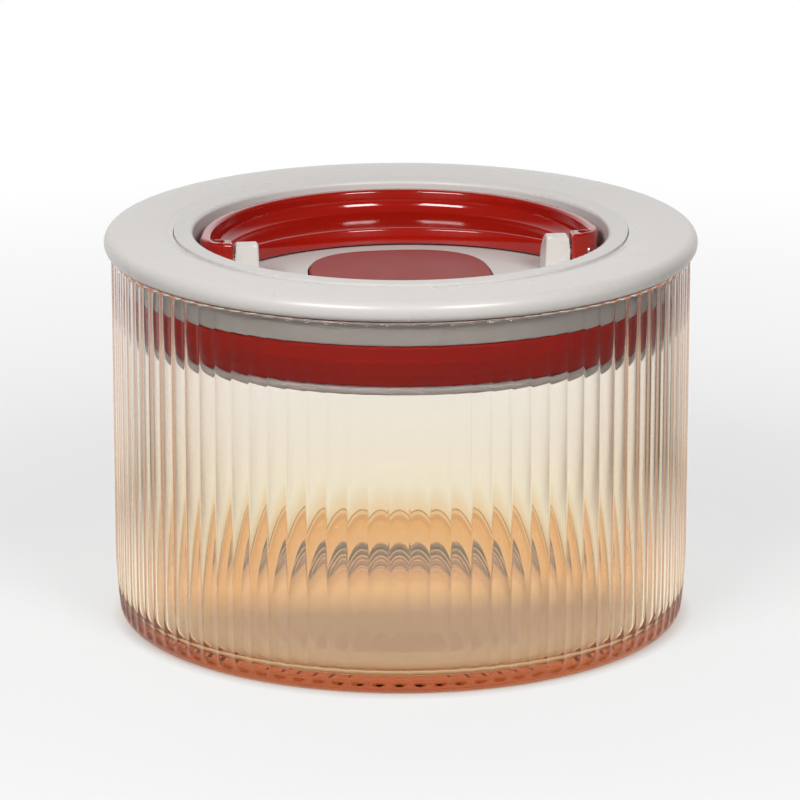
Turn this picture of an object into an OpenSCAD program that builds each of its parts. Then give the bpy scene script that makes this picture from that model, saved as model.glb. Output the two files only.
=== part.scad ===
// Wide storage jar of fluted glass with a lever-lock lid.
// The origin is the middle of the foot, +Z is up and X runs along the hinge of the handle.

/* [Glass jar] */
// Outer diameter over the ridges between the flutes
glass_d = 136.6; // [132:0.2:138]
// Height of the glass from the table to its rim
glass_h = 88; // [84:0.5:130]
// Wall thickness under a ridge
glass_wall = 2.6; // [2.5:0.1:4.4]
// Thickness of the glass floor
glass_floor = 3.8; // [3.2:0.1:6]
// Radius of the outside corner at the foot
foot_round = 4.6; // [3:0.1:6]
// Radius of the inside corner at the floor
inner_round = 3.4; // [1.5:0.1:6]
// Rounding of the fire-polished rim
rim_round = 1.2; // [0.7:0.05:1.2]
// Diameter of the shallow domed hollow under the base
punt_d = 84; // [60:1:108]
// Depth of the hollow under the base
punt_h = 1.8; // [0.6:0.1:2]

/* [Flutes] */
// Number of flutes round the jar
flute_count = 90; // [60:1:96]
// Depth of a flute below the ridges
flute_depth = 0.5; // [0.3:0.05:0.8]
// Width of the ridge left between two flutes
flute_land = 0.3; // [0.1:0.05:0.8]
// Turn of the first flute away from the hinge axis, in degrees
flute_turn = 3.1; // [0:0.1:6]

/* [Crown ring] */
// How far the crown ring stands out past the glass
crown_over = 1.7; // [0.7:0.05:4.7]
// Thickness of the crown ring at its round edge
crown_t = 5.1; // [4.6:0.1:6]
// Seam left between the crown ring and the glass rim
seam = 0.3; // [0.2:0.05:0.5]
// Rise of the crown's dome above its edge
crown_rise = 0.35; // [0:0.05:0.6]
// Top wall of the crown ring
crown_wall = 2.4; // [2:0.1:2.8]
// Gap between the crown's skirt and the glass
skirt_gap = 0.7; // [0.4:0.1:1.2]
// Wall of the crown's skirt
skirt_wall = 2.4; // [1.8:0.1:2.8]

/* [Well tray] */
// Distance from the glass's inner face to the inside of the well
well_inset = 16.7; // [15.7:0.1:16.9]
// Depth of the well below the crown's top
well_depth = 11.5; // [11:0.1:12.5]
// Wall of the well
well_wall = 2.2; // [1.6:0.1:2.4]
// Width of the tray's flange from the wall outwards
tray_flange = 4.6; // [4:0.1:5]
// Thickness of the tray's flange
flange_t = 2; // [1.6:0.1:2.2]
// Thickness of the tray's floor
tray_floor = 2.2; // [1.8:0.1:2.8]
// Rounding of the well's upper edge
well_round = 0.9; // [0.5:0.1:1.2]

/* [Plug and seal] */
// Height of the silicone seal when it is squeezed
seal_h = 9.8; // [8:0.1:12]
// Radial width of the seal
seal_w = 5.5; // [4:0.1:6]
// Gap between the seal's widest line and the glass
seal_gap = 0.3; // [0.2:0.05:0.6]
// How much narrower the seal is at its lower edge
seal_taper = 2.2; // [1:0.1:3]
// Wall of the plug body
plug_wall = 2.4; // [1.8:0.1:3]
// Thickness of the plug body's floor
plug_floor_t = 2; // [2:0.1:2.8]

/* [Clamp] */
// Drop of the clamp plate when the handle stands up
clamp_travel = 1.5; // [1:0.1:1.5]
// Thickness of the clamp plate's lip
lip_t = 2; // [1.6:0.1:2.6]
// Thickness of the lift ring
lift_t = 2.9; // [2.6:0.1:3.4]
// Radial width of the lift ring
lift_w = 6; // [5:0.5:7]
// Radius of the two stems through the plug body
stem_r = 3.2; // [2.8:0.1:3.6]
// Number of ribs under the clamp plate
rib_count = 12; // [6:2:24]

/* [Handle] */
// Gap between the handle's outer wall and the well
handle_gap = 1.9; // [1.8:0.1:2.5]
// Height of the handle
handle_h = 9.5; // [9:0.1:9.8]
// Thickness of the handle's outer wall
handle_wall = 2.4; // [2:0.1:3]
// Depth of the grip at the back, from the handle's outer wall to its inner edge
grip_w = 18.8; // [15:0.1:20.1]
// Radius of the grip's inner edge
grip_r = 47.3; // [45:0.1:49]
// Height of the grip's inner edge
grip_h = 3.9; // [3:0.1:4.5]
// Rise of the grip from its inner edge to the wall, per mm
grip_slope = 0.02; // [0.02:0.005:0.16]
// Distance of the pivot in front of the middle
pivot_y = 3.1; // [2.8:0.1:3.4]
// Height of the pivot above the well floor
pivot_h = 5.6; // [5.4:0.1:5.8]
// Distance of the handle's front nose from the pivot
nose_l = 3.1; // [2.8:0.1:3.3]
// Radius of each hinge pin
pin_r = 1.2; // [1:0.05:1.3]
// Radius of the round recess in each end of the handle
end_hole_r = 1.6; // [1:0.1:1.8]
// Depth of the round recess in each end of the handle
end_hole_h = 2.2; // [1:0.1:2.4]

/* [Pivot lugs] */
// Distance from the handle's outer wall to a lug's outer face
lug_inset = 7.4; // [7.3:0.1:7.9]
// Width of a lug at the well floor
lug_w = 6; // [5:0.1:6.4]
// Height of a lug above the well floor
lug_h = 9.6; // [8.8:0.1:10]
// Length of a lug from its front face to the end of its round back
lug_l = 9.2; // [8:0.1:9.6]

/* [Vent button] */
// Room for the fingers between the button and the grip's inner edge
finger_gap = 6.9; // [6.8:0.1:13]
// Squareness of the button's outline, 2 is a circle
button_power = 2.7; // [2.2:0.1:3]
// Height of the button above the well floor
button_up = 1; // [0.6:0.1:1.6]
// Thickness of the button's cap
button_t = 2; // [1.6:0.1:2.2]
// Bevel round the top of the button
button_bevel = 0.4; // [0.2:0.1:0.6]
// Travel of the button
button_travel = 1.5; // [1:0.1:1.6]
// Radius of the button's stem
button_stem_r = 2; // [1.6:0.1:2.2]
// Mean radius of the spring
spring_r = 4.3; // [4.1:0.1:4.5]
// Wire of the spring
spring_wire = 0.7; // [0.5:0.1:0.8]
// Turns of the spring
spring_turns = 4; // [3:1:5]
// Radius of the vent valve
valve_r = 5.2; // [4.4:0.1:5.4]

/* [Fasteners] */
// Distance of the plug screws from the inside of the well
screw_inset = 3; // [1:0.5:5]
// Number of plug screws
screw_count = 4; // [4:4:8]
// Radius of a screw's shank
screw_r = 1.4; // [1.2:0.1:1.5]
// Radius of a screw's head
screw_head_r = 2.8; // [2.4:0.1:2.9]

/* [Hidden] */
$fn = 96;

// Running gap between a piece that moves and what it moves beside
gap = 0.3;
// Gap between two pieces that are fixed to each other
fit = 0.1;
// Gap of a shaft or screw in its bore
bore_fit = 0.05;
// Overlap of a cutter past the surface it opens
cut = 1;
// Lean of the rounds that end the flutes
lean = 0.1;

jar_r = glass_d / 2;
bore_r = jar_r - glass_wall;
flute_chord = 2 * jar_r * sin(180 / flute_count) - flute_land;
flute_r = (pow(flute_chord / 2, 2) + pow(flute_depth, 2)) / (2 * flute_depth);

punt_r = (pow(punt_d / 2, 2) + pow(punt_h, 2)) / (2 * punt_h);

crown_r = jar_r + crown_over;
crown_z = glass_h + seam;
crown_top = crown_z + crown_t;
edge_r = crown_t / 2;
skirt_r = bore_r - skirt_gap;
skirt_in = skirt_r - skirt_wall;
well_r = bore_r - well_inset;
screw_ring_r = well_r - screw_inset;
seam_r = well_r + tray_flange;
ledge_w = 1.8;
ledge_t = 2.2;
ledge_z = crown_top - 0.1 - flange_t;

floor_z = crown_top - well_depth;
tray_bot = floor_z - tray_floor;
lift_z1 = tray_bot - 0.5;
lift_z0 = lift_z1 - lift_t;
plug_floor_z = lift_z0 - clamp_travel - 0.2;
plug_bot = plug_floor_z - plug_floor_t;
clamp_top = plug_bot - 0.6;
clamp_bot = clamp_top - lip_t;
seal_bot = clamp_top + fit;
seal_top = seal_bot + seal_h;
seat_z = seal_top + fit;

seal_r = bore_r - seal_gap;
seal_in = seal_r - seal_w;
plug_r = seal_in - fit;
plug_in = plug_r - plug_wall;
collar_r = skirt_in - fit;
collar_in = collar_r - plug_wall;
lip_r = seal_r - seal_taper + 0.2;

handle_r = well_r - handle_gap;
handle_in = handle_r - handle_wall;
handle_z = floor_z + 0.5;
handle_top = handle_z + handle_h;
pivot_z = floor_z + pivot_h;
nose_round = nose_l - 0.1;
grip_y = handle_r - grip_w;
grip_cy = grip_y - grip_r;

lug_x = handle_r - lug_inset;
lug_in = lug_x - lug_w;
lug_front = -pivot_y - 1.6;
lug_back_r = lug_l - 0.2;
lug_taper = 1.5;

end_x = lug_x + gap;
end_r = handle_r - end_x + 1.6;
end_cx = end_x - 1.4;
end_cy = end_r - pivot_y - nose_l + 0.1;
end_back_y = -0.5;
end_shelf_h = grip_h - 0.2;
end_hole_x = (end_x + handle_r) / 2 - 0.1;
end_hole_y = end_back_y - end_hole_r;

button_a = grip_y - finger_gap;
button_reach = button_a * pow(2, 0.5 - 1 / button_power);
pocket_gap = 0.4;
pocket_h = button_t - button_up + button_travel + 0.5;
pocket_wall = 1.6;
pocket_z = floor_z - pocket_h;
pocket_bot = pocket_z - pocket_wall;
button_z = floor_z + button_up - button_t;
tube_in = spring_r + spring_wire / 2 + 0.6;
tube_wall = 1.4;
tube_bot = plug_floor_z + gap;
tube_floor = 1.2;
spring_z0 = tube_bot + tube_floor;
spring_h = button_z - spring_z0;
valve_top = plug_bot - fit;
valve_t = 1.3;
valve_hub_h = 1;
tip_r = button_stem_r - 0.5;

lift_in = button_reach + pocket_gap + pocket_wall + 1.2;
lift_out = lift_in + lift_w;
stem_x = lift_out - stem_r + 1;
stem_seal_wire = 0.75;
stem_seal_r = stem_r + 0.2 + stem_seal_wire;

SIDES = [-1, 1];

// One quarter of a rounded corner, as a 2D disc that is joined to two rectangles
module corner_disc(x, y, r) {
    translate([x, y]) circle(r = r);
}

// Cuts the foot's outside corner to its round
// The arc leans out a little, so that it meets the wall at an angle
module foot_cut() {
    difference() {
        translate([jar_r - foot_round + lean, -cut]) square([foot_round + cut, foot_round + cut]);
        corner_disc(jar_r - foot_round + lean, foot_round, foot_round);
    }
}

// Cuts the rim's outer edge to its round
module rim_outer_cut() {
    difference() {
        translate([jar_r - rim_round + lean, glass_h - rim_round]) square([rim_round + cut, rim_round + cut]);
        corner_disc(jar_r - rim_round + lean, glass_h - rim_round, rim_round);
    }
}

module glass_inside() {
    translate([0, glass_floor]) square([bore_r - inner_round, glass_h]);
    translate([0, glass_floor + inner_round]) square([bore_r, glass_h]);
    corner_disc(bore_r - inner_round, glass_floor + inner_round, inner_round);
}

// The rim's inner edge has the same round as its outer edge
module rim_inner_cut() {
    difference() {
        translate([bore_r - cut, glass_h - rim_round]) square([rim_round + cut, rim_round + cut]);
        corner_disc(bore_r + rim_round, glass_h - rim_round, rim_round);
    }
}

// The hollow under the base is a shallow cap of a large sphere
module punt() {
    intersection() {
        translate([0, punt_h - punt_r]) circle(r = punt_r, $fn = 1440);
        translate([0, -cut]) square([punt_d, punt_h + 2 * cut]);
    }
}

// Section of the glass: a disc with a hollow flute at each step round it
module fluted_disc() {
    difference() {
        circle(r = jar_r, $fn = 360);
        for (i = [0 : flute_count - 1])
            rotate(flute_turn + i * 360 / flute_count)
                translate([jar_r + flute_r - flute_depth, 0]) circle(r = flute_r, $fn = 48);
    }
}

// The flutes run the whole height, and fade where the rim and the foot turn inwards
module glass_jar() {
    color([0.93, 0.82, 0.66, 0.45])
        difference() {
            linear_extrude(glass_h) fluted_disc();
            rotate_extrude() foot_cut();
            rotate_extrude() rim_outer_cut();
            rotate_extrude() {
                glass_inside();
                rim_inner_cut();
            }
            rotate_extrude() punt();
        }
}

// Radius of the circle through the crown's dome, from its width and its rise
dome_in = seam_r + 3.2;
dome_out = crown_r - edge_r;
dome_half = (dome_out - dome_in) / 2;
dome_r = (dome_half * dome_half + crown_rise * crown_rise) / (2 * max(crown_rise, 0.01));

module crown_top_profile() {
    intersection() {
        translate([seam_r, crown_z]) square([dome_out - seam_r, crown_t + crown_rise]);
        union() {
            translate([0, crown_z]) square([dome_out, crown_t]);
            translate([dome_in + dome_half, crown_top + crown_rise - dome_r])
                circle(r = dome_r, $fn = 720);
        }
    }
}

// The shallow cove between the dome and the seam with the tray
module cove() {
    polygon([[seam_r - cut, crown_top - 0.6], [seam_r + 0.2, crown_top - 0.6],
             [seam_r + 1.3, crown_top - 0.45], [dome_in - 0.8, crown_top - 0.08],
             [dome_in, crown_top + 0.01], [dome_in, crown_top + cut], [seam_r - cut, crown_top + cut]]);
}

module crown_ring() {
    under_z = crown_top - crown_wall;
    color([0.93, 0.91, 0.88])
        rotate_extrude() {
            difference() {
                union() {
                    crown_top_profile();
                    corner_disc(crown_r - edge_r, crown_z + edge_r, edge_r);
                }
                cove();
                translate([0, crown_z - cut])
                    square([skirt_in, crown_t - crown_wall + cut]);
            }
            translate([skirt_in, seat_z]) square([skirt_wall, crown_z - seat_z + fit]);
            translate([seam_r - ledge_w, ledge_z - ledge_t]) square([ledge_w + 2, ledge_t]);
            translate([seam_r, under_z - ledge_t]) square([2, ledge_t + crown_wall / 2]);
        }
}

// Superellipse outline of the button, from its half width
function squircle(a, n = 96) = [
    for (i = [0 : n - 1])
        let (t = 360 * i / n, c = cos(t), s = sin(t))
            [a * sign(c) * pow(abs(c), 2 / button_power),
             a * sign(s) * pow(abs(s), 2 / button_power)]
];

// Lug's side view: straight front, flat top and a round back
module lug_side(grow = 0) {
    intersection() {
        translate([lug_front + 0.2, floor_z + lug_h - lug_back_r]) circle(r = lug_back_r + grow);
        translate([lug_front - grow, floor_z - tray_floor])
            square([lug_l + 2 * grow, lug_h + tray_floor + grow]);
    }
}

module lug_slot(side) {
    slot_l = lug_l + 2 * gap;
    translate([side > 0 ? lug_in - gap : -lug_x - gap, lug_front - gap, tray_bot - cut])
        cube([lug_w + 2 * gap, slot_l, tray_floor + 2 * cut]);
}

module at_screws() {
    for (i = [0 : screw_count - 1])
        rotate([0, 0, 45 + i * 360 / screw_count]) translate([screw_ring_r, 0, 0]) children();
}

screw_seat_z = plug_bot + 2;
screw_boss_r = 4.5;
screw_boss_z = plug_floor_z + 2.4;

module well_tray() {
    flange_top = ledge_z + flange_t;
    color([0.94, 0.92, 0.90])
        difference() {
            union() {
                rotate_extrude()
                    difference() {
                        union() {
                            translate([0, tray_bot]) square([well_r + well_wall, tray_floor]);
                            translate([well_r, tray_bot]) square([well_wall, flange_top - tray_bot]);
                            translate([well_r, ledge_z + fit]) square([tray_flange - fit, flange_t - fit]);
                        }
                        difference() {
                            translate([well_r - cut, flange_top - well_round])
                                square([well_round + cut, well_round + cut]);
                            corner_disc(well_r + well_round, flange_top - well_round, well_round);
                        }
                    }
                translate([0, 0, pocket_bot]) linear_extrude(tray_bot - pocket_bot + fit)
                    polygon(squircle(button_a + pocket_gap + pocket_wall));
                translate([0, 0, tube_bot])
                    cylinder(h = pocket_bot - tube_bot + fit, r = tube_in + tube_wall);
                at_screws()
                    translate([0, 0, screw_boss_z])
                        cylinder(h = tray_bot - screw_boss_z + fit, r = screw_r + 2);
            }
            translate([0, 0, pocket_z]) linear_extrude(pocket_h + cut)
                polygon(squircle(button_a + pocket_gap));
            translate([0, 0, spring_z0]) cylinder(h = pocket_z - spring_z0 + cut, r = tube_in);
            translate([0, 0, tube_bot - cut]) cylinder(h = tube_floor + 2 * cut, r = button_stem_r + gap);
            at_screws()
                translate([0, 0, screw_boss_z - cut])
                    cylinder(h = tray_bot - screw_boss_z + cut, r = screw_r + bore_fit);
            for (side = SIDES) lug_slot(side);
        }
}

module plug_body() {
    color([0.90, 0.89, 0.87])
        difference() {
            union() {
                rotate_extrude() {
                    translate([0, plug_bot]) square([plug_r, plug_floor_t]);
                    translate([plug_in, plug_bot]) square([plug_wall, seat_z - plug_bot + plug_wall]);
                    translate([plug_in, seat_z]) square([collar_r - plug_in, plug_wall]);
                    translate([collar_in, seat_z])
                        square([plug_wall, crown_top - crown_wall - fit - seat_z]);
                }
                at_screws()
                    translate([0, 0, plug_bot])
                        cylinder(h = screw_boss_z - fit - plug_bot, r = screw_boss_r);
            }
            at_screws() {
                translate([0, 0, plug_bot - cut])
                    cylinder(h = screw_seat_z - plug_bot + cut, r = screw_head_r + 0.3);
                translate([0, 0, plug_bot - cut])
                    cylinder(h = screw_boss_z - plug_bot + 2 * cut, r = screw_r + bore_fit);
            }
            for (side = SIDES)
                translate([side * stem_x, 0, plug_bot - cut]) {
                    cylinder(h = plug_floor_t + 2 * cut, r = stem_r + gap);
                    translate([0, 0, cut + plug_floor_t - 2 * stem_seal_wire - 0.2])
                        cylinder(h = 2 * stem_seal_wire + cut, r = stem_seal_r + stem_seal_wire + fit);
                }
            translate([0, 0, plug_bot - cut])
                cylinder(h = plug_floor_t + 2 * cut, r = button_stem_r + 0.6);
        }
}

// A pan-head screw that points up, with its head under z = 0
module screw(length, head_h) {
    translate([0, 0, -head_h])
        difference() {
            cylinder(h = head_h, r = screw_head_r);
            for (a = [0, 90])
                rotate([0, 0, a]) translate([-screw_head_r * 0.6, -0.3, -cut])
                    cube([screw_head_r * 1.2, 0.6, cut + head_h / 2]);
        }
    translate([0, 0, -fit]) cylinder(h = length + fit, r = screw_r);
}

module plug_screws() {
    head_h = 1.7;
    color("silver")
        at_screws() translate([0, 0, screw_seat_z]) screw(tray_bot - screw_seat_z - 0.4, head_h);
}

module seal_ring() {
    apex_z = seal_bot + seal_h * 0.62;
    edge = 0.6;
    color([0.68, 0.09, 0.04])
        rotate_extrude()
            polygon([[seal_in, seal_bot], [seal_r - seal_taper - edge, seal_bot],
                     [seal_r - seal_taper, seal_bot + edge],
                     [seal_r - seal_taper * 0.36, seal_bot + seal_h * 0.3],
                     [seal_r - seal_taper * 0.08, seal_bot + seal_h * 0.48],
                     [seal_r, apex_z],
                     [seal_r - 0.06, apex_z + 1.4],
                     [seal_r - 0.35, seal_top - edge],
                     [seal_r - 0.35 - edge, seal_top], [seal_in, seal_top]]);
}

// The two lugs that carry the handle, drawn for the side that side gives
module lug(side) {
    top = floor_z + lug_h;
    bevel = 0.7;
    intersection() {
        mirror([side > 0 ? 0 : 1, 0, 0])
            translate([lug_in, 0, 0])
                rotate([90, 0, 90]) linear_extrude(lug_w)
                    union() {
                        lug_side();
                        translate([lug_front, lift_z0]) square([lug_l, floor_z - tray_floor - lift_z0 + fit]);
                    }
        mirror([side > 0 ? 0 : 1, 0, 0])
            translate([0, lug_front + lug_l, 0])
                rotate([90, 0, 0]) linear_extrude(lug_l)
                    polygon([[lug_in, lift_z0], [lug_x, lift_z0], [lug_x, top - 4],
                             [lug_x - 0.3, top - bevel], [lug_x - 0.3 - bevel, top],
                             [lug_in + lug_taper + bevel, top], [lug_in + lug_taper, top - bevel],
                             [lug_in + lug_taper * 0.4, top - 3.2], [lug_in, floor_z]]);
    }
}

module lift_ring() {
    color([0.93, 0.92, 0.89])
        difference() {
            union() {
                difference() {
                    translate([0, 0, lift_z0]) cylinder(h = lift_t, r = lift_out);
                    translate([0, 0, lift_z0 - cut]) cylinder(h = lift_t + 2 * cut, r = lift_in);
                }
                for (side = SIDES) {
                    lug(side);
                    translate([side > 0 ? lift_out - 3 : -lug_x, lug_front, lift_z0])
                        cube([lug_x - lift_out + 3, lug_l, lift_t]);
                    translate([side * stem_x, 0, clamp_top])
                        cylinder(h = lift_z0 - clamp_top + fit, r = stem_r);
                }
            }
            for (side = SIDES) {
                translate([side * (lug_in - cut), -pivot_y, pivot_z])
                    rotate([0, side * 90, 0]) cylinder(h = lug_w + 2 * cut, r = pin_r + bore_fit);
                translate([side * stem_x, 0, clamp_top - cut])
                    cylinder(h = lift_z0 - clamp_top + cut, r = screw_r + bore_fit);
            }
        }
}

module clamp_plate() {
    vent_r = 6.8;
    rim_w = 5;
    dish = 0.7;
    hub_r = 10;
    color([0.93, 0.92, 0.89])
        difference() {
            union() {
                rotate_extrude() {
                    translate([0, clamp_bot + dish]) square([lip_r - 1, lip_t - dish]);
                    translate([lip_r - rim_w, clamp_bot]) square([rim_w - lip_t / 2, lip_t]);
                    corner_disc(lip_r - lip_t / 2, clamp_bot + lip_t / 2, lip_t / 2);
                    translate([0, clamp_bot]) square([hub_r, lip_t]);
                }
                for (i = [0 : rib_count - 1])
                    rotate([0, 0, (i + 0.5) * 360 / rib_count])
                        translate([hub_r - 1, -0.6, clamp_bot])
                            cube([lip_r - rim_w - hub_r + 2, 1.2, dish + fit]);
                for (side = SIDES)
                    translate([side * stem_x, 0, clamp_bot]) cylinder(h = lip_t, r = screw_head_r + 1.2);
            }
            translate([0, 0, clamp_bot - cut]) cylinder(h = lip_t + 2 * cut, r = vent_r);
            for (side = SIDES)
                translate([side * stem_x, 0, clamp_bot - cut])
                    cylinder(h = lip_t + 2 * cut, r = screw_r + bore_fit);
        }
}

module clamp_screws() {
    head_h = 1.4;
    color("silver")
        for (side = SIDES)
            translate([side * stem_x, 0, clamp_bot])
                screw(lift_z0 - clamp_bot - 0.4, head_h);
}

module stem_seal(side) {
    seal_z = plug_floor_z - stem_seal_wire - 0.1;
    color([0.68, 0.09, 0.04])
        translate([side * stem_x, 0, seal_z])
            rotate_extrude($fn = 64) translate([stem_seal_r, 0]) circle(r = stem_seal_wire, $fn = 32);
}

module stem_seal_left() { stem_seal(-1); }
module stem_seal_right() { stem_seal(1); }

pin_l = lug_w - 1 + gap + 4.4;

module hinge_pin(side) {
    color("silver")
        translate([side * (lug_in + 1), -pivot_y, pivot_z])
            rotate([0, side * 90, 0]) cylinder(h = pin_l, r = pin_r);
}

module hinge_pin_left() { hinge_pin(-1); }
module hinge_pin_right() { hinge_pin(1); }

// The grip: a sloping flange whose inner edge is a flatter arc than the outer wall
module grip() {
    reach = handle_r - grip_cy + cut;
    edge = 0.5;
    difference() {
        intersection() {
            translate([0, grip_cy, 0])
                rotate_extrude($fn = 180)
                    polygon([[grip_r, handle_z], [reach, handle_z],
                             [reach, handle_z + grip_h + (reach - grip_r) * grip_slope],
                             [grip_r + edge, handle_z + grip_h + edge * grip_slope],
                             [grip_r, handle_z + grip_h - 0.4]]);
            translate([0, 0, handle_z - cut])
                cylinder(h = handle_h, r = handle_r - handle_wall / 4, $fn = 180);
            translate([-handle_r, end_back_y, handle_z - cut])
                cube([2 * handle_r, 2 * handle_r, handle_h]);
        }
        for (side = SIDES) lug_room(side);
    }
}

// Room that the grip leaves round a lug
module lug_room(side) {
    translate([side > 0 ? lug_in - gap : -end_x, lug_front - gap, handle_z - cut])
        cube([lug_w + 2 * gap, lug_l + 2 * gap + 1, handle_h + 2 * cut]);
}

// Space that the handle's ends keep to in plan: a round nose in front of the pivot
module end_plan() {
    difference() {
        intersection() {
            circle(r = handle_r, $fn = 180);
            translate([end_cx, end_cy]) circle(r = end_r);
        }
        translate([end_x - 4 * end_r, -2 * end_r]) square([4 * end_r, 4 * end_r]);
    }
}

// Side view of a handle end: flat bottom and a round nose that clears the floor as it turns
module end_side() {
    nose_cy = -pivot_y - nose_l + nose_round;
    union() {
        translate([nose_cy, handle_z + nose_round]) circle(r = nose_round);
        translate([nose_cy, handle_z]) square([2 * end_r, handle_h]);
        translate([nose_cy - nose_round, handle_z + nose_round])
            square([2 * nose_round, handle_h - nose_round]);
    }
}

module handle_end() {
    block_y = end_back_y + pivot_y + nose_l;
    intersection() {
        translate([0, 0, handle_z]) linear_extrude(handle_h) end_plan();
        translate([end_x, 0, 0]) rotate([90, 0, 90]) linear_extrude(handle_r) end_side();
        union() {
            translate([end_x, end_back_y - block_y, handle_z]) cube([end_r, block_y, handle_h]);
            translate([end_x, end_back_y - 1, handle_z]) cube([end_r, end_r, end_shelf_h]);
        }
    }
}

module handle_outer_wall() {
    difference() {
        translate([0, 0, handle_z]) cylinder(h = handle_h, r = handle_r, $fn = 180);
        translate([0, 0, handle_z - cut])
            cylinder(h = handle_h + 2 * cut, r = handle_in, $fn = 180);
        translate([-2 * handle_r, end_cy - 4 * handle_r, handle_z - cut])
            cube([4 * handle_r, 4 * handle_r, handle_h + 2 * cut]);
    }
}

// The stretch of the outer wall beside each end follows the end's round nose
module wall_tail() {
    intersection() {
        difference() {
            translate([0, 0, handle_z]) cylinder(h = handle_h, r = handle_r, $fn = 180);
            translate([0, 0, handle_z - cut])
                cylinder(h = handle_h + 2 * cut, r = handle_in, $fn = 180);
        }
        translate([end_cx, end_cy, handle_z]) cylinder(h = handle_h, r = end_r);
        translate([end_x, 0, 0]) rotate([90, 0, 90]) linear_extrude(handle_r) end_side();
    }
}

module carry_handle() {
    color([0.70, 0.09, 0.03])
        difference() {
            union() {
                handle_outer_wall();
                grip();
                for (side = SIDES) mirror([side > 0 ? 0 : 1, 0, 0]) {
                    handle_end();
                    wall_tail();
                }
            }
            for (side = SIDES) {
                translate([side * (end_x - cut), -pivot_y, pivot_z])
                    rotate([0, side * 90, 0])
                        cylinder(h = pin_l - lug_w + 1 + cut, r = pin_r + 2 * bore_fit);
                translate([side * end_hole_x, end_hole_y, handle_top - end_hole_h])
                    cylinder(h = end_hole_h + cut, r = end_hole_r, $fn = 48);
            }
        }
}

module vent_button() {
    guide_r = spring_r - spring_wire / 2 - 0.6;
    guide_h = 2.2;
    tip_z = valve_top - valve_t - valve_hub_h;
    color([0.70, 0.12, 0.07]) {
        translate([0, 0, button_z])
            linear_extrude(button_t - button_bevel) polygon(squircle(button_a));
        translate([0, 0, button_z + button_t - button_bevel])
            linear_extrude(button_bevel, scale = 1 - button_bevel / button_a)
                polygon(squircle(button_a));
        translate([0, 0, button_z - guide_h]) cylinder(h = guide_h + fit, r = guide_r);
        translate([0, 0, valve_top]) cylinder(h = button_z - valve_top + fit, r = button_stem_r);
        translate([0, 0, tip_z - 0.1]) cylinder(h = valve_top - tip_z + 0.2, r = tip_r);
        translate([0, 0, tip_z - 1]) cylinder(h = 0.9, r = button_stem_r);
    }
}

// Points of one ring of the spring's wire, at a turn of t degrees
function coil_ring(t, sides) = [
    for (k = [0 : sides - 1])
        let (a = 360 * k / sides,
             r = spring_r + spring_wire / 2 * cos(a),
             end_gap = spring_wire / 2 + 0.02,
             z = spring_z0 + end_gap + (spring_h - 2 * end_gap) * t / (360 * spring_turns))
            [r * cos(t), r * sin(t), z + spring_wire / 2 * sin(a)]
];

module button_spring() {
    sides = 8;
    turn_steps = 20;
    steps = turn_steps * spring_turns;
    points = [for (i = [0 : steps]) each coil_ring(i * 360 / turn_steps, sides)];
    tube = [for (i = [0 : steps - 1], k = [0 : sides - 1])
                let (n = (k + 1) % sides)
                    [i * sides + k, (i + 1) * sides + k, (i + 1) * sides + n, i * sides + n]];
    ends = [[for (k = [0 : sides - 1]) k],
            [for (k = [sides - 1 : -1 : 0]) steps * sides + k]];
    color("silver") polyhedron(points = points, faces = concat(tube, ends), convexity = 6);
}

module vent_valve() {
    color([0.62, 0.08, 0.05])
        rotate_extrude($fn = 64)
            difference() {
                union() {
                    translate([0, valve_top - valve_t]) square([valve_r, valve_t]);
                    translate([0, valve_top - valve_t - valve_hub_h]) square([3.2, valve_hub_h + fit]);
                }
                translate([-1, valve_top - 2 * valve_r]) square([tip_r + bore_fit + 1, 3 * valve_r]);
            }
}

glass_jar();
crown_ring();
well_tray();
plug_body();
plug_screws();
seal_ring();
lift_ring();
clamp_plate();
clamp_screws();
stem_seal_left();
stem_seal_right();
hinge_pin_left();
hinge_pin_right();
carry_handle();
vent_button();
button_spring();
vent_valve();
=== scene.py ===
"""Looks of a wide storage jar: fluted amber-tinted glass and a plug lid with a sunken red handle.

Run as a script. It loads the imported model, gives each piece its shape and finish,
and sets up a plain studio. All sizes are in metres, in the model's own frame.
"""

import math

import bmesh
import bpy
from mathutils import Matrix, Vector


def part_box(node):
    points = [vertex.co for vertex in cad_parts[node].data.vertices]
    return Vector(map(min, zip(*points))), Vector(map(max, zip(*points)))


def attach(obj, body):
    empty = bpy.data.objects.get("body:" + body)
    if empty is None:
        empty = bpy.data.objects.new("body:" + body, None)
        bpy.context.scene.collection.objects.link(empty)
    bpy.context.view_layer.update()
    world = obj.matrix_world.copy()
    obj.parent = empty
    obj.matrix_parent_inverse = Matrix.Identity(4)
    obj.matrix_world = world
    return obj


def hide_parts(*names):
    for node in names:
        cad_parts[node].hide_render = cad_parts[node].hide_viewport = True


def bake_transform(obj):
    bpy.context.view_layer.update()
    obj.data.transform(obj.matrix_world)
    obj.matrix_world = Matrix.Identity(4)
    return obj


bl_info = {
    "name": "Fluted Storage Jar",
    "version": (1, 0, 0),
    "blender": (4, 5, 0),
    "location": "View3D > Sidebar > Jar",
    "description": "Builds the looks of a fluted glass storage jar with a lever-lock lid",
    "category": "Object",
}

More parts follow.
